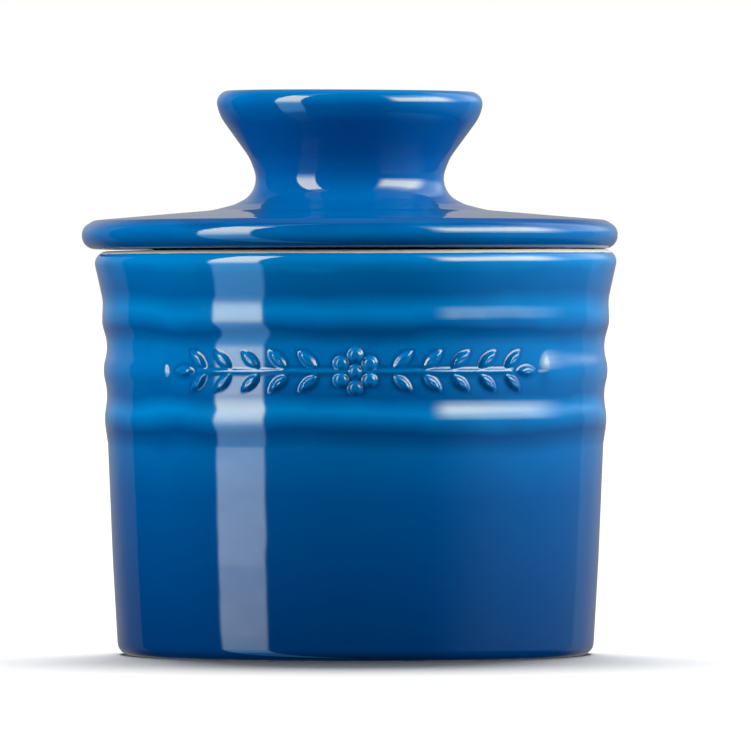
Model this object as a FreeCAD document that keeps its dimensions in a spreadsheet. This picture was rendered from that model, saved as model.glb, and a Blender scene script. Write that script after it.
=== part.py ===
import FreeCAD, Part
import Sketcher
import math
import os

# Two-piece stoneware butter crock, in millimetres, +Z up.
# The origin is on the lid's axis, at the level of the jar's foot. The lid lies loose on the jar, with a
# little sideways play, and the jar's axis is a millimetre to the right of it.
# The jar holds cold water. The lid is one fired piece: a hollow flared knob, a disc that closes the jar,
# and a bell under it that is packed with butter and hangs in the water.
# Both pieces are turned, so each is one closed section revolved about Z. The jar also has a sprig of
# leaves in relief on its front, the -Y side, where the middle ridge is left out.

DIMENSIONS = {
    "jar_axis_x": 1.1,
    # Jar, from the foot up: radii (r), heights (z) and roundings of the corners of its section
    "recess_depth": 1.2,
    "recess_r": 36.2,
    "foot_inner_r": 37.2,
    "foot_inner_round": 0.6,
    "foot_outer_r": 44.15,
    "foot_outer_round": 2.6,
    "belly_r": 45.2,
    "belly_z": 17.5,
    "band_r": 46.13,
    "band_z": 39.3,
    "band_round": 4.0,
    "low_ridge_r": 46.9,
    "low_ridge_z": 44.0,
    "low_ridge_round": 7.6,
    "low_groove_r": 46.16,
    "low_groove_z": 48.75,
    "low_groove_round": 9.0,
    "middle_ridge_r": 47.24,
    "middle_ridge_z": 53.1,
    "middle_ridge_round": 8.0,
    "high_groove_r": 46.09,
    "high_groove_z": 57.4,
    "high_groove_round": 8.2,
    "high_ridge_r": 47.32,
    "high_ridge_z": 61.7,
    "high_ridge_round": 5.0,
    "collar_r": 47.14,
    "collar_z": 66.05,
    "collar_round": 8.0,
    "rim_r": 49.2,
    "rim_z": 75.3,
    "rim_round": 2.3,
    "mouth_r": 43.6,
    "mouth_round": 0.8,
    "well_r": 40.6,
    "well_floor_z": 6.0,
    "well_round": 6.0,
    # Lid, from the bell's ceiling round to the knob's hollow
    "bell_ceiling_z": 78.2,
    "bell_ceiling_r": 30.0,
    "bell_ceiling_round": 5.0,
    "bell_mouth_z": 14.0,
    "bell_mouth_inner_r": 28.6,
    "bell_mouth_outer_r": 32.8,
    "bell_lip_round": 1.9,
    "bell_root_r": 34.6,
    "bell_root_round": 3.0,
    "seat_r": 45.6,
    "skirt_r": 46.0,
    "skirt_z": 75.65,
    "disc_lower_r": 50.03,
    "disc_lower_round": 2.5,
    "disc_edge_r": 49.93,
    "disc_edge_z": 79.57,
    "disc_edge_round": 2.2,
    "disc_upper_r": 47.73,
    "disc_upper_z": 80.96,
    "disc_upper_round": 2.4,
    "cone_r": 25.66,
    "cone_z": 82.82,
    "cone_round": 11.0,
    "neck_foot_r": 21.59,
    "neck_foot_z": 83.87,
    "neck_foot_round": 3.8,
    "neck_r": 16.45,
    "neck_z": 86.43,
    "neck_round": 4.6,
    "flare_r": 18.64,
    "flare_z": 92.57,
    "flare_round": 9.0,
    "knob_r": 24.35,
    "knob_z": 100.53,
    "knob_round": 7.9,
    "lip_r": 25.3,
    "lip_z": 105.15,
    "lip_round": 2.3,
    "opening_r": 20.3,
    "opening_round": 1.2,
    "hollow_r": 19.6,
    "hollow_z": 100.5,
    "hollow_round": 7.0,
    "hollow_waist_r": 13.2,
    "hollow_waist_z": 91.2,
    "hollow_waist_round": 8.0,
    "hollow_floor_r": 12.4,
    "hollow_floor_z": 84.6,
    "hollow_floor_round": 3.0,
    # Relief on the jar's front
    "panel_r": 46.5,
    "panel_outer_r": 48.5,
    "panel_half_angle": 49.0,
    "relief_top_r": 47.25,
    "relief_root_r": 45.0,
    "stem_top_r": 46.95,
    "stem_width": 1.1,
    "stem_half_angle": 38.6,
    "boss_r": 1.3,
    "petal_r": 1.4,
    "petal_pitch_r": 3.0,
    "petal_count": 6,
    "leaf_length": 4.9,
    "leaf_side_round": 3.4,
    "leaf_tilt": 42.0,
    "leaf_foot": 0.7,
    "leaf_pairs": 5,
    "first_leaf_angle": 7.8,
    "leaf_pitch_angle": 6.9,
    "end_leaf_angle": 38.6,
}

# A corner of a section names its radius, its height and its rounding. None means on the axis, at the
# level of the foot, or left sharp.
JAR_SECTION = (
    (None, "recess_depth", None),
    ("recess_r", "recess_depth", None),
    ("foot_inner_r", None, "foot_inner_round"),
    ("foot_outer_r", None, "foot_outer_round"),
    ("belly_r", "belly_z", None),
    ("band_r", "band_z", "band_round"),
    ("low_ridge_r", "low_ridge_z", "low_ridge_round"),
    ("low_groove_r", "low_groove_z", "low_groove_round"),
    ("middle_ridge_r", "middle_ridge_z", "middle_ridge_round"),
    ("high_groove_r", "high_groove_z", "high_groove_round"),
    ("high_ridge_r", "high_ridge_z", "high_ridge_round"),
    ("collar_r", "collar_z", "collar_round"),
    ("rim_r", "rim_z", "rim_round"),
    ("mouth_r", "rim_z", "mouth_round"),
    ("well_r", "well_floor_z", "well_round"),
    (None, "well_floor_z", None),
)
LID_SECTION = (
    (None, "bell_ceiling_z", None),
    ("bell_ceiling_r", "bell_ceiling_z", "bell_ceiling_round"),
    ("bell_mouth_inner_r", "bell_mouth_z", "bell_lip_round"),
    ("bell_mouth_outer_r", "bell_mouth_z", "bell_lip_round"),
    ("bell_root_r", "rim_z", "bell_root_round"),
    ("seat_r", "rim_z", None),
    ("skirt_r", "skirt_z", None),
    ("disc_lower_r", "skirt_z", "disc_lower_round"),
    ("disc_edge_r", "disc_edge_z", "disc_edge_round"),
    ("disc_upper_r", "disc_upper_z", "disc_upper_round"),
    ("cone_r", "cone_z", "cone_round"),
    ("neck_foot_r", "neck_foot_z", "neck_foot_round"),
    ("neck_r", "neck_z", "neck_round"),
    ("flare_r", "flare_z", "flare_round"),
    ("knob_r", "knob_z", "knob_round"),
    ("lip_r", "lip_z", "lip_round"),
    ("opening_r", "lip_z", "opening_round"),
    ("hollow_r", "hollow_z", "hollow_round"),
    ("hollow_waist_r", "hollow_waist_z", "hollow_waist_round"),
    ("hollow_floor_r", "hollow_floor_z", "hollow_floor_round"),
    (None, "hollow_floor_z", None),
)

# The sketcher's numbers for its origin and axes, and for the points of a line or an arc
ORIGIN = -1
H_AXIS = -1
V_AXIS = -2
START = 1
END = 2
CENTRE = 3

UP = FreeCAD.Vector(0, 1, 0)
NORMAL = FreeCAD.Vector(0, 0, 1)

doc = FreeCAD.newDocument("butter_crock")
sheet = doc.addObject("Spreadsheet::Sheet", "Dimensions")
for row, (alias, value) in enumerate(DIMENSIONS.items(), start=1):
    sheet.set(f"A{row}", alias)
    sheet.set(f"B{row}", str(value))
    sheet.setAlias(f"B{row}", alias)
doc.recompute()


def size(alias):
    """The value of a dimension; None is zero."""
    return float(sheet.get(alias)) if alias else 0.0


def bind(target, path, expression):
    """Drive a property or a named constraint by an expression whose words are aliases of the sheet."""
    words = expression.split()
    target.setExpression(path, " ".join(f"Dimensions.{w}" if w in DIMENSIONS else w for w in words))


def drive(sketch, name, alias, kind, *elements):
    """Add a dimension to a sketch, name it, and drive it by one alias of the sheet."""
    index = sketch.addConstraint(Sketcher.Constraint(kind, *elements, size(alias)))
    sketch.renameConstraint(index, name)
    bind(sketch, f"Constraints.{name}", alias)


def new_sketch(body, name, offset=FreeCAD.Placement()):
    """A sketch on the body's XZ plane. Its X is the radius, its Y is up, and its normal is -Y, the front."""
    plane = next(f for f in body.Origin.OriginFeatures if f.Role == "XZ_Plane")
    sketch = body.newObject("Sketcher::SketchObject", name)
    sketch.AttachmentSupport = [(plane, "")]
    sketch.MapMode = "FlatFace"
    sketch.AttachmentOffset = offset
    return sketch


def place_point(sketch, name, geometry, end, r_alias, z_alias):
    """Hold a point of a sketch at a radius and a height."""
    if r_alias:
        drive(sketch, f"{name}_r", r_alias, "DistanceX", ORIGIN, START, geometry, end)
    else:
        sketch.addConstraint(Sketcher.Constraint("PointOnObject", geometry, end, V_AXIS))
    if z_alias:
        drive(sketch, f"{name}_z", z_alias, "DistanceY", ORIGIN, START, geometry, end)
    else:
        sketch.addConstraint(Sketcher.Constraint("PointOnObject", geometry, end, H_AXIS))


def rounded_corner(before, corner, after, radius):
    """The arc that rounds a corner, as its first, middle and last points."""
    back = (before - corner).normalize()
    ahead = (after - corner).normalize()
    half_angle = back.getAngle(ahead) / 2
    reach = radius / math.tan(half_angle)
    middle_reach = radius / math.sin(half_angle) - radius
    bisector = (back + ahead).normalize()
    return corner + back * reach, corner + bisector * middle_reach, corner + ahead * reach


def section_sketch(body, name, corners):
    """A closed outline: straight runs from corner to corner, each tangent to the arcs at rounded corners."""
    sketch = new_sketch(body, name)
    points = [FreeCAD.Vector(size(r), size(z), 0) for r, z, _ in corners]
    count = len(corners)
    rounds = []
    for i, (_, _, radius) in enumerate(corners):
        if radius:
            rounds.append(rounded_corner(points[i - 1], points[i], points[(i + 1) % count], size(radius)))
        else:
            rounds.append((points[i], points[i], points[i]))
    for i in range(count):
        run_start = rounds[i][2]
        run_end = rounds[(i + 1) % count][0]
        sketch.addGeometry(Part.LineSegment(run_start, run_end), False)
    for i, (r_alias, z_alias, radius) in enumerate(corners):
        run_in = (i - 1) % count
        run_out = i
        corner_name = f"corner_{i}"
        if not radius:
            sketch.addConstraint(Sketcher.Constraint("Coincident", run_in, END, run_out, START))
            place_point(sketch, corner_name, run_out, START, r_alias, z_alias)
            continue
        entry, middle, leaving = rounds[i]
        turns_left = (points[i] - entry).cross(leaving - points[i]).z > 0
        arc = sketch.addGeometry(Part.Arc(entry, middle, leaving), False)
        arc_in, arc_out = (START, END) if turns_left else (END, START)
        sketch.addConstraint(Sketcher.Constraint("Tangent", run_in, END, arc, arc_in))
        sketch.addConstraint(Sketcher.Constraint("Tangent", arc, arc_out, run_out, START))
        drive(sketch, f"{corner_name}_round", radius, "Radius", arc)
        point = sketch.addGeometry(Part.Point(points[i]), True)
        sketch.addConstraint(Sketcher.Constraint("PointOnObject", point, START, run_in))
        sketch.addConstraint(Sketcher.Constraint("PointOnObject", point, START, run_out))
        place_point(sketch, corner_name, point, START, r_alias, z_alias)
    return sketch


def turned_body(label, corners):
    """A piece turned on the wheel: its section revolved once about Z."""
    body = doc.addObject("PartDesign::Body", label)
    body.Label = label
    section = section_sketch(body, f"{label}_section", corners)
    turned = body.newObject("PartDesign::Revolution", f"{label}_turned")
    turned.Profile = section
    turned.ReferenceAxis = (section, ["V_Axis"])
    turned.Angle = 360
    doc.recompute()
    return body


def turned_about_front(angle):
    """The sketch placement whose X is the radius at this angle from the front, towards +X."""
    return FreeCAD.Placement(FreeCAD.Vector(0, 0, 0), FreeCAD.Rotation(UP, angle - 90))


def rectangle_sketch(body, name, offset, r_aliases, z_low, z_high):
    """A rectangle between two driven radii. Its lower and upper edges are bound by the caller."""
    sketch = new_sketch(body, name, offset)
    r_low, r_high = (size(alias) for alias in r_aliases)
    corners = [(r_low, z_low), (r_high, z_low), (r_high, z_high), (r_low, z_high)]
    points = [FreeCAD.Vector(r, z, 0) for r, z in corners]
    for i in range(4):
        sketch.addGeometry(Part.LineSegment(points[i], points[(i + 1) % 4]), False)
    for i in range(4):
        sketch.addConstraint(Sketcher.Constraint("Coincident", i, END, (i + 1) % 4, START))
    for i, direction in enumerate(("Horizontal", "Vertical", "Horizontal", "Vertical")):
        sketch.addConstraint(Sketcher.Constraint(direction, i))
    drive(sketch, "inner", r_aliases[0], "DistanceX", ORIGIN, START, 0, START)
    drive(sketch, "outer", r_aliases[1], "DistanceX", ORIGIN, START, 1, START)
    return sketch


def front_sweep(body, kind, name, sketch, half_angle_alias):
    """Revolve or cut a sketch about Z, by the same angle to each side of the front."""
    feature = body.newObject(kind, name)
    feature.Profile = sketch
    feature.ReferenceAxis = (sketch, ["V_Axis"])
    feature.Midplane = True
    bind(feature, "Angle", f"2 * {half_angle_alias}")
    doc.recompute()
    return feature


def cut_panel(body):
    """Turn the middle ridge away across the front, down to the two grooves beside it."""
    low, high = "low_groove_z", "high_groove_z"
    sketch = rectangle_sketch(body, "panel_section", turned_about_front(0),
                              ("panel_r", "panel_outer_r"), size(low), size(high))
    drive(sketch, "bottom", low, "DistanceY", ORIGIN, START, 0, START)
    drive(sketch, "top", high, "DistanceY", ORIGIN, START, 2, START)
    return front_sweep(body, "PartDesign::Groove", "panel", sketch, "panel_half_angle")


def add_stem(body):
    """The stem of the sprig, a thin raised line round the middle of the panel."""
    middle = size("middle_ridge_z")
    half_width = size("stem_width") / 2
    sketch = rectangle_sketch(body, "stem_section", turned_about_front(0),
                              ("relief_root_r", "stem_top_r"), middle - half_width, middle + half_width)
    for name, edge, sign in (("bottom", 0, "-"), ("top", 2, "+")):
        height = middle - half_width if sign == "-" else middle + half_width
        index = sketch.addConstraint(
            Sketcher.Constraint("DistanceY", ORIGIN, START, edge, START, height))
        sketch.renameConstraint(index, name)
        bind(sketch, f"Constraints.{name}", f"middle_ridge_z {sign} stem_width / 2")
    return front_sweep(body, "PartDesign::Revolution", "stem", sketch, "stem_half_angle")


def relief_sketch(body, name, angle, spin=0):
    """A sketch that faces out of the jar at this angle from the front. Its origin is on the stem."""
    facing = FreeCAD.Rotation(UP, angle)
    out = facing.multVec(NORMAL) * size("relief_top_r")
    place = out + UP * size("middle_ridge_z")
    return new_sketch(body, name, FreeCAD.Placement(place, facing * FreeCAD.Rotation(NORMAL, spin)))


def raise_relief(body, name, sketch):
    """Pad a relief sketch inwards from its top face to inside the wall."""
    pad = body.newObject("PartDesign::Pad", name)
    pad.Profile = sketch
    pad.Reversed = True
    bind(pad, "Length", "relief_top_r - relief_root_r")
    doc.recompute()
    return pad


def repeat(body, name, feature, axis, occurrences, angle, backwards=False):
    """Repeat a feature about an axis, with the angle from the first to the last."""
    pattern = body.newObject("PartDesign::PolarPattern", name)
    pattern.Originals = [feature]
    pattern.Axis = axis
    pattern.Reversed = backwards
    bind(pattern, "Occurrences", occurrences)
    bind(pattern, "Angle", angle)
    body.Tip = pattern
    doc.recompute()
    return pattern


def add_rosette(body):
    """The flower at the middle of the sprig: a round boss with round petals about it."""
    boss_sketch = relief_sketch(body, "boss_outline", 0)
    centre = FreeCAD.Vector(0, 0, 0)
    boss_sketch.addGeometry(Part.Circle(centre, NORMAL, size("boss_r")), False)
    boss_sketch.addConstraint(Sketcher.Constraint("Coincident", 0, CENTRE, ORIGIN, START))
    drive(boss_sketch, "radius", "boss_r", "Radius", 0)
    raise_relief(body, "boss", boss_sketch)
    petal_sketch = relief_sketch(body, "petal_outline", 0)
    pitch = FreeCAD.Vector(0, size("petal_pitch_r"), 0)
    petal_sketch.addGeometry(Part.Circle(pitch, NORMAL, size("petal_r")), False)
    petal_sketch.addConstraint(Sketcher.Constraint("PointOnObject", 0, CENTRE, V_AXIS))
    drive(petal_sketch, "pitch", "petal_pitch_r", "DistanceY", ORIGIN, START, 0, CENTRE)
    drive(petal_sketch, "radius", "petal_r", "Radius", 0)
    petal = raise_relief(body, "petal", petal_sketch)
    full_turn = "360 / petal_count * ( petal_count - 1 )"
    return repeat(body, "petals", petal, (petal_sketch, ["N_Axis"]), "petal_count", full_turn)


def add_leaf(body, name, angle, spin):
    """One leaf: two arcs from its foot to its tip. The spin turns it up from pointing towards +X."""
    sketch = relief_sketch(body, f"{name}_outline", angle, spin)
    foot = FreeCAD.Vector(size("leaf_foot"), 0, 0)
    tip = foot + FreeCAD.Vector(size("leaf_length"), 0, 0)
    side_round = size("leaf_side_round")
    half_length = size("leaf_length") / 2
    half_width = side_round - math.sqrt(side_round**2 - half_length**2)
    middle = (foot + tip) / 2
    sketch.addGeometry(Part.Arc(foot, middle - UP * half_width, tip), False)
    sketch.addGeometry(Part.Arc(tip, middle + UP * half_width, foot), False)
    sketch.addConstraint(Sketcher.Constraint("Coincident", 0, END, 1, START))
    sketch.addConstraint(Sketcher.Constraint("Coincident", 1, END, 0, START))
    sketch.addConstraint(Sketcher.Constraint("PointOnObject", 0, START, H_AXIS))
    sketch.addConstraint(Sketcher.Constraint("PointOnObject", 0, END, H_AXIS))
    drive(sketch, "foot", "leaf_foot", "DistanceX", ORIGIN, START, 0, START)
    drive(sketch, "length", "leaf_length", "DistanceX", 0, START, 0, END)
    drive(sketch, "lower_side", "leaf_side_round", "Radius", 0)
    drive(sketch, "upper_side", "leaf_side_round", "Radius", 1)
    return raise_relief(body, name, sketch)


def add_leaves(body):
    """Pairs of leaves along both arms of the stem, pointing away from the rosette, and one at each end."""
    upright = next(f for f in body.Origin.OriginFeatures if f.Role == "Z_Axis")
    run = "leaf_pitch_angle * ( leaf_pairs - 1 )"
    for side, sign, outwards in (("right", 1, 0), ("left", -1, 180)):
        for row, tilt in (("upper", size("leaf_tilt")), ("lower", -size("leaf_tilt"))):
            name = f"{side}_{row}_leaf"
            leaf = add_leaf(body, name, sign * size("first_leaf_angle"), outwards + sign * tilt)
            repeat(body, f"{name}_row", leaf, (upright, [""]), "leaf_pairs", run, backwards=sign < 0)
        add_leaf(body, f"{side}_end_leaf", sign * size("end_leaf_angle"), outwards)


def check_document():
    """Stop if any object failed, or a piece has no valid shape."""
    for item in doc.Objects:
        if "Invalid" in item.State or "Error" in item.State:
            raise RuntimeError(f"{item.Label} failed: {item.State}")
    for body in (jar, lid):
        if body.Shape.isNull() or not body.Shape.isValid() or len(body.Shape.Solids) != 1:
            raise RuntimeError(f"{body.Label} is not one valid solid")


jar = turned_body("jar", JAR_SECTION)
turned_volume = jar.Shape.Volume
cut_panel(jar)
panel_volume = jar.Shape.Volume
if panel_volume >= turned_volume:
    raise RuntimeError("the panel cut nothing")
add_stem(jar)
add_rosette(jar)
add_leaves(jar)
bind(jar, "Placement.Base.x", "jar_axis_x")
if jar.Shape.Volume <= panel_volume:
    raise RuntimeError("the relief added nothing")
lid = turned_body("lid", LID_SECTION)
doc.recompute()
check_document()

os.makedirs("parts", exist_ok=True)
for piece in (jar, lid):
    piece.Shape.exportStep(f"parts/{piece.Label}.step")
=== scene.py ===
import math
import bpy
import numpy as np
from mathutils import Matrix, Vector


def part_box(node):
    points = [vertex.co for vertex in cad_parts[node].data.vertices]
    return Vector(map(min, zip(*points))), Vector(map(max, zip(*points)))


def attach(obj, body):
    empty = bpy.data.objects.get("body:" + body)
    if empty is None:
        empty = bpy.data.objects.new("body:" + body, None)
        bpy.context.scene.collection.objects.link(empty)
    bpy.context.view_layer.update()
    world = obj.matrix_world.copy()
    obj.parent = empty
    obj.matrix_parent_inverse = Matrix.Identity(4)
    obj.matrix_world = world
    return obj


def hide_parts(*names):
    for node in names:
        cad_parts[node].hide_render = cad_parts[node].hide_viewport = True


# A two-piece stoneware butter crock: a glazed jar, and a lid with a flared knob and a bell under it.
# Lengths are millimetres until a mesh is made. An angle about the axis is counted from the front, the -Y
# side, towards +X.
MM = 0.001

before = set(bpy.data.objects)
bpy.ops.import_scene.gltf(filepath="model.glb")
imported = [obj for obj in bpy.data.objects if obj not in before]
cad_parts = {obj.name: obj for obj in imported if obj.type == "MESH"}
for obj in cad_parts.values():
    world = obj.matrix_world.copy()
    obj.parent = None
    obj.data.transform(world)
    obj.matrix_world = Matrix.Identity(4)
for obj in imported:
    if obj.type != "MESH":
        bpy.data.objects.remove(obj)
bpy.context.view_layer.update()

jar_low, jar_high = (np.array(corner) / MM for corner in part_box("jar"))
lid_low, lid_high = (np.array(corner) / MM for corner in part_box("lid"))
JAR_X = (jar_low[0] + jar_high[0]) / 2
RIM_Z = jar_high[2]
LIP_Z = lid_high[2]
BELL_MOUTH_Z = lid_low[2]

# Outlines: corners as radius, height and rounding. They run from the axis under the piece, up its outer
# side, and back to the axis over its inner side.
JAR_OUTLINE = (
    (0.0, 1.2, 0.0),
    (36.2, 1.2, 0.6),
    (37.2, 0.0, 0.6),
    (44.3, 0.0, 2.3),
    (45.3, 17.5, 60.0),
    (46.2, 39.3, 4.0),
    (46.9, 44.0, 11.0),
    (46.16, 48.75, 11.5),
    (47.24, 53.1, 8.0),
    (46.09, 57.4, 8.2),
    (47.32, 61.7, 5.0),
    (47.14, 66.05, 8.0),
    (49.2, RIM_Z, 2.3),
    (43.6, RIM_Z, 0.8),
    (40.6, 6.0, 6.0),
    (0.0, 6.0, 0.0),
)
UNDERSIDE_Z = RIM_Z + 0.29
LID_OUTLINE = (
    (0.0, 78.2, 0.0),
    (30.0, 78.2, 5.0),
    (28.6, BELL_MOUTH_Z, 1.9),
    (32.8, BELL_MOUTH_Z, 1.9),
    (34.6, UNDERSIDE_Z, 3.0),
    (50.03, UNDERSIDE_Z, 2.5),
    (49.93, 79.57, 2.2),
    (47.73, 80.96, 2.4),
    (25.66, 82.82, 11.0),
    (21.59, 83.87, 3.8),
    (16.45, 86.43, 4.6),
    (18.64, 92.57, 9.0),
    (24.35, 100.53, 7.9),
    (25.3, LIP_Z, 2.3),
    (20.3, LIP_Z, 1.2),
    (19.6, 100.5, 7.0),
    (13.2, 91.2, 8.0),
    (12.4, 84.6, 3.0),
    (0.0, 84.6, 0.0),
)

# The relief on the jar's front, between the two grooves beside the middle ridge
LOW_GROOVE_Z = 48.75
MIDDLE_RIDGE_Z = 53.1
HIGH_GROOVE_Z = 57.4
PANEL_HALF_ANGLE = math.radians(49.8)
RIDGE_END_SQUEEZE = 0.75
PANEL_R = 46.4
STEM_HALF_ANGLE = math.radians(38.6)
STEM_HALF_WIDTH = 0.62
STEM_HEIGHT = 0.5
LEAF_HEIGHT = 0.82
LEAF_LENGTH = 4.9
LEAF_SIDE_ROUND = 3.4
LEAF_FOOT = 0.7
LEAF_TILT = math.radians(42.0)
LEAF_PAIRS = 5
FIRST_LEAF_ANGLE = math.radians(7.8)
LEAF_PITCH_ANGLE = math.radians(6.9)
END_LEAF_ANGLE = math.radians(38.6)
PETAL_COUNT = 6
PETAL_PITCH_R = 3.0
PETAL_R = 1.45
BOSS_R = 1.35
RELIEF_EDGE = 0.8
VEIN_DEPTH = 0.25
VEIN_HALF_WIDTH = 0.3
# The depth inside a shape, for points that are nowhere near one
FAR_OUTSIDE = -9.0

# The glaze pools in a band round each raised shape, and runs thin on its crest
POOL_DISTANCE = 0.3
POOL_WIDTH = 0.35
CREST_DEPTH = 0.1

# The slight warp of the fired pieces. The rim is higher at the front by its sway, and has waves, each an
# angle, a half width and a height. The warp fades out down the wall. The lid's disc is higher at the front,
# and its knob leans to the right, down from its full height at the left side of its lip.
RIM_SWAY = 0.11
RIM_WAVES = ((60.0, 35.0, 0.22), (100.0, 22.0, 0.20), (-95.0, 32.0, -0.15))
DISC_LEAN_RIGHT = 0.001
DISC_LEAN_FRONT = 0.005
KNOB_LEAN = 0.005
WARP_REACH = 25.0
BELL_TOP_Z = 70.0
DISC_TOP_Z = 84.0
KNOB_FOOT_Z = 86.0
KNOB_R = 24.0

# Bare clay: the top of the jar's rim, the foot ring's contact face, and a ring under the lid's disc
RIM_BARE_HEIGHT = 0.6
FOOT_RING_INNER_R = 36.5
FOOT_BARE_HEIGHT = 0.12
SEAT_INNER_R = 42.8
SEAT_OUTER_R = 45.8
# The distance past the glaze's edge, for points that are nowhere near it
GLAZED = -9.0

# Outline points of the jar's ridged outer wall lie in this band of heights
RIDGES_LOW_Z = 40.0
RIDGES_HIGH_Z = 66.0
WALL_INNER_R = PANEL_R - 1.5


def smoothstep(low, high, x):
    t = np.clip((x - low) / (high - low), 0.0, 1.0)
    return t * t * (3.0 - 2.0 * t)


def trace(corners, step_at):
    """Points along an outline, rounded at its corners, about step_at(point) apart."""
    points = [np.array(corner[:2], dtype=float) for corner in corners]
    runs = [points[0]]
    for i in range(1, len(points) - 1):
        corner, radius = points[i], corners[i][2]
        back = points[i - 1] - corner
        ahead = points[i + 1] - corner
        back /= np.linalg.norm(back)
        ahead /= np.linalg.norm(ahead)
        half_angle = math.acos(np.clip(back @ ahead, -1, 1)) / 2
        entry = corner + back * radius / math.tan(half_angle)
        bisector = (back + ahead) / np.linalg.norm(back + ahead)
        centre = corner + bisector * radius / math.sin(half_angle)
        sweep = math.pi - 2 * half_angle
        turn = math.copysign(1.0, back[1] * ahead[0] - back[0] * ahead[1])
        parts = max(2, math.ceil(sweep / math.radians(7)), math.ceil(sweep * radius / step_at(corner)))
        for k in range(parts + 1):
            a = turn * sweep * k / parts
            arm = entry - centre
            runs.append(centre + np.array([arm[0] * math.cos(a) - arm[1] * math.sin(a),
                                           arm[0] * math.sin(a) + arm[1] * math.cos(a)]))
    runs.append(points[-1])
    outline = [runs[0]]
    for start, end in zip(runs, runs[1:]):
        length = np.linalg.norm(end - start)
        parts = max(1, math.ceil(length / step_at((start + end) / 2)))
        outline += [start + (end - start) * k / parts for k in range(1, parts + 1)]
    return np.array(outline)


def lathe(name, outline, angles, axis_x, shape, marks):
    """Turn an outline about its axis. shape(r, z, angle, rows) returns each point's radius and height, and
    values there for the material to read, by attribute name. marks(rows) returns more of those values, one
    for each point along the outline."""
    ring_rows = outline[1:-1]
    rows, columns = len(ring_rows), len(angles)
    angle = np.tile(angles, (rows, 1))
    r = np.tile(ring_rows[:, :1], (1, columns))
    z = np.tile(ring_rows[:, 1:], (1, columns))
    r, z, extra = shape(r, z, angle, ring_rows)
    x = axis_x + r * np.sin(angle)
    y = -r * np.cos(angle)
    verts = np.column_stack((x.ravel(), y.ravel(), z.ravel()))
    poles = np.array([[axis_x, 0.0, outline[0, 1]], [axis_x, 0.0, outline[-1, 1]]])
    verts = np.vstack((verts, poles)) * MM
    first_pole, last_pole = rows * columns, rows * columns + 1
    i, j = np.meshgrid(np.arange(rows - 1), np.arange(columns), indexing="ij")
    k = (j + 1) % columns
    row, next_row = i * columns, (i + 1) * columns
    quads = np.stack((row + j, row + k, next_row + k, next_row + j), axis=-1)
    j = np.arange(columns)
    k = (j + 1) % columns
    last = (rows - 1) * columns
    fans = [(first_pole, b, a) for a, b in zip(j.tolist(), k.tolist())]
    fans += [(last_pole, last + a, last + b) for a, b in zip(j.tolist(), k.tolist())]
    mesh = bpy.data.meshes.new(name)
    mesh.from_pydata(verts.tolist(), [], quads.reshape(-1, 4).tolist() + fans)
    mesh.polygons.foreach_set("use_smooth", [True] * len(mesh.polygons))
    values = {key: np.tile(value[:, None], (1, columns)) for key, value in marks(ring_rows).items()}
    values.update(extra)
    for key, value in values.items():
        layer = mesh.attributes.new(key, "FLOAT", "POINT")
        flat = value.ravel()
        layer.data.foreach_set("value", np.concatenate((flat, [flat[0], flat[-1]])).astype(np.float32))
    mesh.update()
    piece = bpy.data.objects.new(name, mesh)
    bpy.context.scene.collection.objects.link(piece)
    return piece


def relief_shapes(u, v):
    """The depth inside each shape of the sprig at the panel's points, in millimetres, and its height.
    u runs round the panel from its middle, v up from the stem."""
    shapes = [(BOSS_R - np.hypot(u, v), LEAF_HEIGHT)]
    for k in range(PETAL_COUNT):
        a = 2 * math.pi * k / PETAL_COUNT
        shapes.append((PETAL_R - np.hypot(u - PETAL_PITCH_R * math.sin(a), v - PETAL_PITCH_R * math.cos(a)),
                       LEAF_HEIGHT))
    shapes.append((np.minimum(STEM_HALF_WIDTH - abs(v), STEM_HALF_ANGLE * PANEL_R - abs(u)), STEM_HEIGHT))
    leaves = [(END_LEAF_ANGLE, 0.0)]
    for k in range(LEAF_PAIRS):
        leaves += [(FIRST_LEAF_ANGLE + k * LEAF_PITCH_ANGLE, tilt) for tilt in (LEAF_TILT, -LEAF_TILT)]
    half = LEAF_LENGTH / 2
    centre_b = math.sqrt(LEAF_SIDE_ROUND**2 - half**2)
    for side in (1, -1):
        for place, tilt in leaves:
            du = side * u - place * PANEL_R
            a = du * math.cos(tilt) + v * math.sin(tilt) - LEAF_FOOT - half
            b = v * math.cos(tilt) - du * math.sin(tilt)
            inside = LEAF_SIDE_ROUND - np.maximum(np.hypot(a, b - centre_b), np.hypot(a, b + centre_b))
            vein = VEIN_DEPTH * np.exp(-(b / VEIN_HALF_WIDTH) ** 2) * smoothstep(half, 0.0, abs(a))
            shapes.append((inside, LEAF_HEIGHT - vein))
    return shapes


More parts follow.
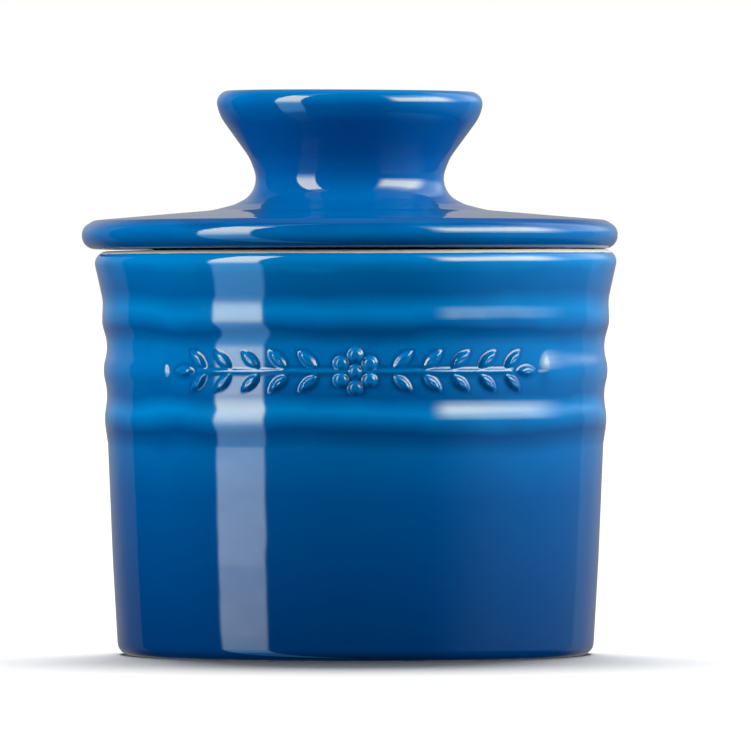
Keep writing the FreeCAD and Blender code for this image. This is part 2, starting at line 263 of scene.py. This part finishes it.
def panel(r, z, angle, rows):
    """Interrupt the middle ridge across the front, round its ends, and raise the sprig there."""
    u = np.arctan2(np.sin(angle), np.cos(angle)) * PANEL_R
    v = z - MIDDLE_RIDGE_Z
    outer = (r > WALL_INNER_R) & (z > LOW_GROOVE_Z) & (z < HIGH_GROOVE_Z)
    wall = rows[(rows[:, 0] > WALL_INNER_R) & (rows[:, 1] > RIDGES_LOW_Z) & (rows[:, 1] < RIDGES_HIGH_Z)]
    past_end = np.maximum(PANEL_HALF_ANGLE * PANEL_R - abs(u), 0.0) / RIDGE_END_SQUEEZE
    reach = np.hypot(past_end, v)
    half_ridge = np.where(v > 0, HIGH_GROOVE_Z - MIDDLE_RIDGE_Z, MIDDLE_RIDGE_Z - LOW_GROOVE_Z)
    ridge_z = MIDDLE_RIDGE_Z + np.sign(v) * np.minimum(reach, half_ridge)
    ridged = np.interp(ridge_z, wall[:, 1], wall[:, 0])
    r = np.where(outer, ridged, r)
    raised = np.zeros_like(r)
    inside = np.full_like(r, FAR_OUTSIDE)
    for depth, height in relief_shapes(u, v):
        raised = np.maximum(raised, height * smoothstep(-0.1, RELIEF_EDGE, depth))
        inside = np.maximum(inside, depth)
    raised = np.where(outer, raised, 0.0)
    inside = np.where(outer, inside, FAR_OUTSIDE)
    return r + raised, inside


def jar_shape(r, z, angle, rows):
    """The panel and its relief, then the slight warp of the fired rim."""
    r, inside = panel(r, z, angle, rows)
    lift = RIM_SWAY * np.cos(angle)
    for place, width, height in RIM_WAVES:
        away = angle - math.radians(place)
        away = np.arctan2(np.sin(away), np.cos(away))
        lift = lift + height * np.exp(-(away / math.radians(width)) ** 2)
    z = z + lift * smoothstep(RIM_Z - WARP_REACH, RIM_Z, z)
    pool = np.exp(-((inside + POOL_DISTANCE) / POOL_WIDTH) ** 2)
    crest = smoothstep(CREST_DEPTH, RELIEF_EDGE, inside)
    return r, z, {"relief_pool": pool, "relief_crest": crest}


def lid_shape(r, z, angle, rows):
    """The disc and the knob lean a little, each its own way. No part of the knob's lip gets higher."""
    right = r * np.sin(angle)
    front = r * np.cos(angle)
    disc = smoothstep(BELL_TOP_Z, UNDERSIDE_Z, z) * (1.0 - smoothstep(DISC_TOP_Z, LIP_Z - 8.0, z))
    knob = smoothstep(KNOB_FOOT_Z, LIP_Z, z)
    z = z + disc * (DISC_LEAN_RIGHT * right + DISC_LEAN_FRONT * front) - knob * KNOB_LEAN * (right + KNOB_R)
    none = np.zeros_like(r)
    return r, z, {"relief_pool": none, "relief_crest": none}


def jar_marks(rows):
    """How far a point lies past the glaze's edge onto bare clay, at the rim and at the foot ring."""
    r, z = rows[:, 0], rows[:, 1]
    rim = z - (RIM_Z - RIM_BARE_HEIGHT)
    foot = np.where(r > FOOT_RING_INNER_R, FOOT_BARE_HEIGHT - z, GLAZED)
    return {"bare": np.maximum(rim, foot)}


def lid_marks(rows):
    """The lid is bare only on the ring of its underside that sits on the rim."""
    r, z = rows[:, 0], rows[:, 1]
    ring = np.minimum(r - SEAT_INNER_R, SEAT_OUTER_R - r)
    return {"bare": np.where(z < UNDERSIDE_Z + 0.2, ring, GLAZED)}


def node(tree, kind, links=None, **settings):
    """Add a node. Settings name its properties, and links its inputs: a value, or a socket to link from."""
    made = tree.nodes.new(kind)
    for key, value in settings.items():
        setattr(made, key, value)
    for key, value in (links or {}).items():
        if isinstance(value, bpy.types.NodeSocket):
            tree.links.new(value, made.inputs[key])
        else:
            made.inputs[key].default_value = value
    return made


def maths(tree, operation, *values):
    return node(tree, "ShaderNodeMath", dict(enumerate(values)), operation=operation).outputs[0]


def ease(tree, value, low, high, start=0.0, end=1.0):
    """A smooth step of a value from low to high."""
    links = {"Value": value, "From Min": low, "From Max": high, "To Min": start, "To Max": end}
    return node(tree, "ShaderNodeMapRange", links, interpolation_type="SMOOTHSTEP").outputs[0]


def mix_colour(tree, factor, first, second):
    mix = node(tree, "ShaderNodeMix", data_type="RGBA")
    for socket, value in ((mix.inputs[0], factor), (mix.inputs[6], first), (mix.inputs[7], second)):
        if isinstance(value, bpy.types.NodeSocket):
            tree.links.new(value, socket)
        else:
            socket.default_value = value
    return mix.outputs[2]


def noise(tree, vector, scale, detail=2.0, roughness=0.5):
    links = {"Vector": vector, "Scale": scale, "Detail": detail, "Roughness": roughness}
    return node(tree, "ShaderNodeTexNoise", links).outputs["Fac"]


def attribute(tree, name):
    return node(tree, "ShaderNodeAttribute", attribute_name=name).outputs["Fac"]


def ramp(tree, value, stops):
    """A colour ramp through (position, colour) stops."""
    made = node(tree, "ShaderNodeValToRGB", {"Fac": value})
    elements = made.color_ramp.elements
    while len(elements) < len(stops):
        elements.new(0.5)
    for element, (position, colour) in zip(elements, stops):
        element.position = position
        element.color = (*colour, 1.0)
    return made.outputs["Color"]


CLAY_LIGHT = (0.70, 0.67, 0.60, 1.0)
CLAY_DARK = (0.55, 0.52, 0.45, 1.0)
POOLED_BLUE = (0.0, 0.055, 0.24, 1.0)
THIN_BLUE = (0.0, 0.19, 0.50, 1.0)
GLAZE_ROUGHNESS = 0.04
GLAZE_IOR = 1.5

# Noise scales, per metre
DRIFT_SCALE = 55.0
CLOUD_SCALE = 90.0
RIPPLE_SCALE = 130.0
EDGE_SCALE = 220.0
GLOSS_SCALE = 300.0
FLECK_SCALE = 1500.0
GRIT_SCALE = 2600.0


def glaze(name, low, high, stops):
    """Glossy glaze coloured by height between two heights from the stops, which paint light and shade onto
    it, with bare clay where the "bare" attribute is above zero. It is darker where it pools round the
    relief, and lighter where it runs thin."""
    material = bpy.data.materials.new(name)
    material.use_nodes = True
    tree = material.node_tree
    shader = tree.nodes["Principled BSDF"]
    place = node(tree, "ShaderNodeTexCoord").outputs["Object"]
    height = node(tree, "ShaderNodeSeparateXYZ", {"Vector": place}).outputs["Z"]
    drift = maths(tree, "MULTIPLY_ADD", noise(tree, place, DRIFT_SCALE), 0.004, -0.002)
    level = node(tree, "ShaderNodeMapRange", {
        "Value": maths(tree, "ADD", height, drift), "From Min": low * MM, "From Max": high * MM}).outputs[0]
    span = high - low
    # The height stops paint light and shade onto the glaze's blue.
    colour = ramp(tree, level, [((z - low) / span, stop) for z, stop in stops])
    cloud = ease(tree, noise(tree, place, CLOUD_SCALE, 3.0), 0.3, 0.7)
    colour = mix_colour(tree, maths(tree, "MULTIPLY", cloud, 0.10), colour, POOLED_BLUE)
    pooled = maths(tree, "MULTIPLY", attribute(tree, "relief_pool"), 0.55)
    colour = mix_colour(tree, pooled, colour, POOLED_BLUE)
    crest = maths(tree, "MULTIPLY", attribute(tree, "relief_crest"), 0.25)
    colour = mix_colour(tree, crest, colour, THIN_BLUE)
    fleck = ease(tree, noise(tree, place, FLECK_SCALE, 1.0), 0.70, 0.78)
    colour = mix_colour(tree, maths(tree, "MULTIPLY", fleck, 0.25), colour, POOLED_BLUE)
    wander = maths(tree, "MULTIPLY_ADD", noise(tree, place, EDGE_SCALE, 3.0), 0.22, -0.11)
    edge = maths(tree, "ADD", attribute(tree, "bare"), wander)
    thin = ease(tree, edge, -0.45, 0.0)
    colour = mix_colour(tree, maths(tree, "MULTIPLY", thin, 0.5), colour, THIN_BLUE)
    bare = ease(tree, edge, -0.03, 0.03)
    grit = noise(tree, place, GRIT_SCALE, 3.0)
    clay = mix_colour(tree, grit, CLAY_DARK, CLAY_LIGHT)
    tree.links.new(mix_colour(tree, bare, colour, clay), shader.inputs["Base Color"])
    gloss = maths(tree, "MULTIPLY_ADD", noise(tree, place, GLOSS_SCALE), 0.03, GLAZE_ROUGHNESS)
    rough = maths(tree, "MULTIPLY_ADD", bare, 0.65, gloss)
    tree.links.new(rough, shader.inputs["Roughness"])
    ripple = noise(tree, place, RIPPLE_SCALE, 1.0)
    skin = node(tree, "ShaderNodeBump", {"Height": ripple, "Strength": 0.12, "Distance": 0.0004})
    grain = maths(tree, "MULTIPLY", grit, bare)
    tooth = node(tree, "ShaderNodeBump", {
        "Height": grain, "Strength": 0.5, "Distance": 0.0002, "Normal": skin.outputs["Normal"]})
    tree.links.new(tooth.outputs["Normal"], shader.inputs["Normal"])
    shader.inputs["IOR"].default_value = GLAZE_IOR
    return material


# The front of the jar gets fine columns for the relief
FINE_STEP = math.radians(0.32)
COARSE_STEP = math.radians(1.8)
FINE_HALF_ANGLE = math.radians(52.0)
fine_count = round(2 * FINE_HALF_ANGLE / FINE_STEP)
coarse_count = round((2 * math.pi - 2 * FINE_HALF_ANGLE) / COARSE_STEP)
jar_angles = np.concatenate((
    np.linspace(-FINE_HALF_ANGLE, FINE_HALF_ANGLE, fine_count, endpoint=False),
    np.linspace(FINE_HALF_ANGLE, 2 * math.pi - FINE_HALF_ANGLE, coarse_count, endpoint=False)))
lid_angles = np.linspace(0.0, 2 * math.pi, 320, endpoint=False)


def jar_step(point):
    """Row spacing down the jar: fine at the relief, close on the ridges, wide on plain walls."""
    r, z = point
    if r > 45.0 and LOW_GROOVE_Z - 1 < z < HIGH_GROOVE_Z + 1:
        return 0.27
    if r > 45.0 and 39.0 < z < 67.0:
        return 0.8
    return 3.2


jar = lathe("glazed_jar", trace(JAR_OUTLINE, jar_step), jar_angles, JAR_X, jar_shape, jar_marks)
lid = lathe("glazed_lid", trace(LID_OUTLINE, lambda point: 1.8), lid_angles, 0.0, lid_shape, lid_marks)


def blue(depth):
    """The glaze's blue: a deep one for a low number, and a lighter, greener one for a high number."""
    return (0.0, depth * (0.17 + 0.36 * depth), depth)


# Heights and how light the blue is there. The stops paint light and shade: the rim and the upper faces of
# the ridges are painted lighter, as if lit from above, and the blue is painted dark under each ridge, where
# shade falls. The slow darkening towards the foot is partly the glaze's own shading and partly painted
# shade.
JAR_BLUES_AND_PAINTED_LIGHT = (
    (0.0, 0.15), (12.0, 0.20), (30.0, 0.28), (38.2, 0.38), (41.8, 0.24), (45.6, 0.55), (48.6, 0.33),
    (53.1, 0.46), (57.8, 0.47), (60.6, 0.29), (64.3, 0.55), (67.9, 0.36), (71.5, 0.42), (73.0, 0.54))
# The lid's stops likewise paint light and shade by height: lighter on the bead and the lip, darker on the
# knob's downward flare.
LID_BLUES_AND_PAINTED_LIGHT = (
    (0.0, 0.30), (76.8, 0.34), (79.0, 0.44), (80.6, 0.30), (82.5, 0.38), (85.0, 0.38), (92.0, 0.30),
    (99.0, 0.29), (102.0, 0.36), (104.5, 0.48))
jar.data.materials.append(glaze("jar_blue_glaze", 0.0, RIM_Z, [(z, blue(depth)) for z, depth in JAR_BLUES_AND_PAINTED_LIGHT]))
lid.data.materials.append(glaze("lid_blue_glaze", 0.0, LIP_Z, [(z, blue(depth)) for z, depth in LID_BLUES_AND_PAINTED_LIGHT]))

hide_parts("jar")
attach(jar, "jar")
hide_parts("lid")
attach(lid, "lid")


FLOOR_HALF = 15.0
FLOOR_DARK = (0.55, 0.55, 0.55, 1.0)
FLOOR_LIGHT = (0.57, 0.57, 0.57, 1.0)


def pale_floor():
    """A plain pale floor. Only the camera sees it, so that the glaze mirrors the dark side of the studio."""
    half = FLOOR_HALF
    mesh = bpy.data.meshes.new("floor")
    corners = [(-half, -half, 0), (half, -half, 0), (half, half, 0), (-half, half, 0)]
    mesh.from_pydata(corners, [], [(0, 1, 2, 3)])
    floor = bpy.data.objects.new("floor", mesh)
    bpy.context.scene.collection.objects.link(floor)
    material = bpy.data.materials.new("floor_white")
    material.use_nodes = True
    tree = material.node_tree
    shader = tree.nodes["Principled BSDF"]
    place = node(tree, "ShaderNodeTexCoord").outputs["Object"]
    tone = mix_colour(tree, noise(tree, place, 6.0), FLOOR_DARK, FLOOR_LIGHT)
    tree.links.new(tone, shader.inputs["Base Color"])
    shader.inputs["Roughness"].default_value = 1.0
    shader.inputs["Specular IOR Level"].default_value = 0.0
    mesh.materials.append(material)
    floor.visible_glossy = False
    floor.visible_diffuse = False
    return floor


def scaled(tree, colour, factor):
    return node(tree, "ShaderNodeVectorMath", {0: colour, "Scale": factor}, operation="SCALE").outputs[0]


def added(tree, first, second):
    return node(tree, "ShaderNodeVectorMath", {0: first, 1: second}, operation="ADD").outputs[0]


def ease_angle(tree, value, low, high, start=0.0, end=1.0):
    """A smooth step of an angle between two angles in degrees."""
    return ease(tree, value, math.radians(low), math.radians(high), start, end)


def band(tree, value, low, high, soft_low, soft_high):
    """One between two angles in degrees, with soft ends."""
    rise = ease_angle(tree, value, low - soft_low, low + soft_low)
    fall = ease_angle(tree, value, high - soft_high, high + soft_high, 1.0, 0.0)
    return maths(tree, "MULTIPLY", rise, fall)


# What the glaze reflects. A band is from, to, and the softness of each end, in degrees: round the crock from
# the front towards the right, or up from level. Stops are an elevation in degrees and a colour.
STRIP_ROUND = (-68, -43, 1, 1)
STRIP_BRIGHTNESS = 12.5
STRIP = ((-38, (0.02, 0.06, 0.11)), (-30, (0.07, 0.17, 0.27)), (-20, (0.08, 0.19, 0.29)),
         (-13, (0.13, 0.21, 0.28)), (-8, (0.23, 0.28, 0.31)), (-4, (0.37, 0.43, 0.45)),
         (1, (0.60, 0.64, 0.52)), (7, (0.83, 0.80, 0.56)), (16, (1.0, 0.90, 0.56)),
         (48, (1.0, 0.86, 0.52)), (54, (0.04, 0.10, 0.18)), (80, (0.03, 0.08, 0.15)), (88, (0.0, 0.0, 0.0)))
BOX_ROUND = (40, 100, 6, 14)
BOX_BRIGHTNESS = 13.5
BOX = ((1, (0.0, 0.0, 0.0)), (6, (0.34, 0.34, 0.24)), (10, (0.48, 0.46, 0.32)), (15, (0.95, 0.88, 0.55)),
       (32, (1.0, 0.91, 0.52)), (41, (0.38, 0.36, 0.24)), (50, (0.10, 0.11, 0.10)), (62, (0.0, 0.0, 0.0)))

# The box's dim far end, and the pale wall at the right
FAR_END_ROUND = (105, 150, 8, 10)
FAR_END_UP = (8, 50, 6, 8)
FAR_END_BRIGHTNESS = 1.2
WALL_ROUND = (52, 150, 20, 20)
WALL_UP = (-22, 24, 8, 8)
WALL_COLOUR = (0.17, 0.24, 0.22)

# The backdrop gets brighter in steps towards the back: from, to, and how much. It is brightest a little
# above level, and fades higher up and under the crock: from, to, and the factor at each.
BACKDROP_STEPS = ((-125.5, -127.5, 0.13), (-136, -160, 0.13), (129.5, 131.5, 0.12), (136, 160, 0.13))
BACKDROP_FADES = ((-8, 10, 1.0, 1.75), (15, 35, 1.0, 0.35), (-12, -30, 1.0, 0.1))

# The share of its brightness that a reflection of a reflection keeps
SECOND_REFLECTION = 0.15


def by_elevation(tree, rise, brightness, stops):
    level = maths(tree, "MULTIPLY_ADD", rise, 1 / math.pi, 0.5)
    colour = ramp(tree, level, [((angle + 90) / 180, colour) for angle, colour in stops])
    return scaled(tree, colour, brightness)


def reflected(tree, turn, rise, depth):
    """A dark room with a tall strip light on the left, a wide soft box high on the right, a pale wall beside
    it, and the pale backdrop behind."""
    strip = scaled(tree, by_elevation(tree, rise, STRIP_BRIGHTNESS, STRIP), band(tree, turn, *STRIP_ROUND))
    box = scaled(tree, by_elevation(tree, rise, BOX_BRIGHTNESS, BOX), band(tree, turn, *BOX_ROUND))
    far_end = maths(tree, "MULTIPLY", band(tree, turn, *FAR_END_ROUND), band(tree, rise, *FAR_END_UP))
    wall = maths(tree, "MULTIPLY", band(tree, turn, *WALL_ROUND), band(tree, rise, *WALL_UP))
    backdrop = 0.0
    for low, high, brightness in BACKDROP_STEPS:
        backdrop = maths(tree, "ADD", backdrop, ease_angle(tree, turn, low, high, 0.0, brightness))
    for low, high, start, end in BACKDROP_FADES:
        backdrop = maths(tree, "MULTIPLY", backdrop, ease_angle(tree, rise, low, high, start, end))
    seen = added(tree, strip, box)
    seen = added(tree, seen, maths(tree, "MULTIPLY", far_end, FAR_END_BRIGHTNESS))
    seen = added(tree, seen, scaled(tree, WALL_COLOUR, wall))
    seen = added(tree, seen, backdrop)
    return scaled(tree, seen, ease(tree, depth, 1.2, 1.8, 1.0, SECOND_REFLECTION))


def shed(tree, axes):
    """Soft light from above and behind, and a little from below."""
    back = ease(tree, axes["Y"], -0.25, 0.6, 0.04, 1.0)
    high = ease(tree, axes["Z"], 0.0, 0.9, 0.45, 1.3)
    above = ease(tree, axes["Z"], -0.12, 0.05)
    below = ease(tree, axes["Z"], 0.0, -0.3, 0.0, 0.17)
    return maths(tree, "MULTIPLY_ADD", maths(tree, "MULTIPLY", back, high), above, below)


def studio():
    """The room: white to the camera, soft light to rough surfaces, and lights and walls to the glaze."""
    world = bpy.data.worlds.new("studio")
    bpy.context.scene.world = world
    world.use_nodes = True
    tree = world.node_tree
    ray = node(tree, "ShaderNodeTexCoord").outputs["Generated"]
    axes = node(tree, "ShaderNodeSeparateXYZ", {"Vector": ray}).outputs
    turn = maths(tree, "ARCTAN2", axes["X"], maths(tree, "MULTIPLY", axes["Y"], -1.0))
    rise = maths(tree, "ARCSINE", axes["Z"])
    path = node(tree, "ShaderNodeLightPath").outputs
    seen = reflected(tree, turn, rise, path["Glossy Depth"])
    light = mix_colour(tree, path["Is Glossy Ray"], shed(tree, axes), seen)
    light = mix_colour(tree, path["Is Camera Ray"], light, (1.0, 1.0, 1.0, 1.0))
    tree.links.new(light, tree.nodes["Background"].inputs["Color"])


CROCK_MIDDLE = Vector((0.0, 0.0, 50.0)) * MM


def soft_light(name, azimuth, elevation, distance, width, height, watts, tint, lit):
    """A rectangular light that faces the crock and lights only that. Angles are in degrees and lengths in
    metres. The studio holds its reflection, so the glaze doesn't see it."""
    data = bpy.data.lights.new(name, "AREA")
    data.shape = "RECTANGLE"
    data.size = width
    data.size_y = height
    data.energy = watts
    data.color = tint
    light = bpy.data.objects.new(name, data)
    bpy.context.scene.collection.objects.link(light)
    a, e = math.radians(azimuth), math.radians(elevation)
    place = Vector((math.sin(a) * math.cos(e), -math.cos(a) * math.cos(e), math.sin(e))) * distance
    light.location = CROCK_MIDDLE + place
    light.rotation_euler = (-place).to_track_quat("-Z", "Y").to_euler()
    light.visible_glossy = False
    light.visible_camera = False
    light.light_linking.receiver_collection = lit


FLOOR_LIGHT_STRENGTH = 6.3
FLOOR_LIGHT_WIDTH = math.radians(40.0)
FLOOR_LIGHT_TILT = math.radians(34.0)


def floor_light(lit):
    """A wide soft light high behind the crock. It lights only the floor, and throws the crock's shadow
    forwards."""
    data = bpy.data.lights.new("floor_light", "SUN")
    data.energy = FLOOR_LIGHT_STRENGTH
    data.angle = FLOOR_LIGHT_WIDTH
    light = bpy.data.objects.new("floor_light", data)
    bpy.context.scene.collection.objects.link(light)
    light.rotation_euler = (-FLOOR_LIGHT_TILT, 0.0, 0.0)
    light.visible_glossy = False
    light.light_linking.receiver_collection = lit


floor = pale_floor()
studio()
ground = bpy.data.collections.new("ground")
ground.objects.link(floor)
floor_light(ground)
crock = bpy.data.collections.new("crock")
crock.objects.link(jar)
crock.objects.link(lid)
WARM = (1.0, 1.0, 0.95)
WHITE = (1.0, 1.0, 1.0)
soft_light("left_strip", azimuth=-66.0, elevation=22.0, distance=1.1, width=0.45, height=0.9,
           watts=14.5, tint=WARM, lit=crock)
soft_light("right_box", azimuth=76.0, elevation=20.0, distance=1.2, width=1.0, height=0.5,
           watts=21.8, tint=WARM, lit=crock)
soft_light("front_fill", azimuth=5.0, elevation=40.0, distance=1.3, width=1.2, height=0.6,
           watts=1.9, tint=WHITE, lit=crock)


SENSOR_WIDTH = 36.0
LENS = 562.8
CAMERA_PLACE = Vector((4.8, -2190.0, 72.0))
CAMERA_AIM = Vector((4.8, 0.0, 52.0))


def camera():
    """Level with the top of the jar's wall, from over two metres away."""
    data = bpy.data.cameras.new("camera")
    data.sensor_width = SENSOR_WIDTH
    data.lens = LENS
    data.clip_start = 0.01
    data.clip_end = 100.0
    view = bpy.data.objects.new("camera", data)
    bpy.context.scene.collection.objects.link(view)
    view.location = CAMERA_PLACE * MM
    view.rotation_euler = (CAMERA_AIM * MM - view.location).to_track_quat("-Z", "Y").to_euler()
    bpy.context.scene.camera = view


camera()
bpy.context.scene.view_settings.view_transform = "Standard"
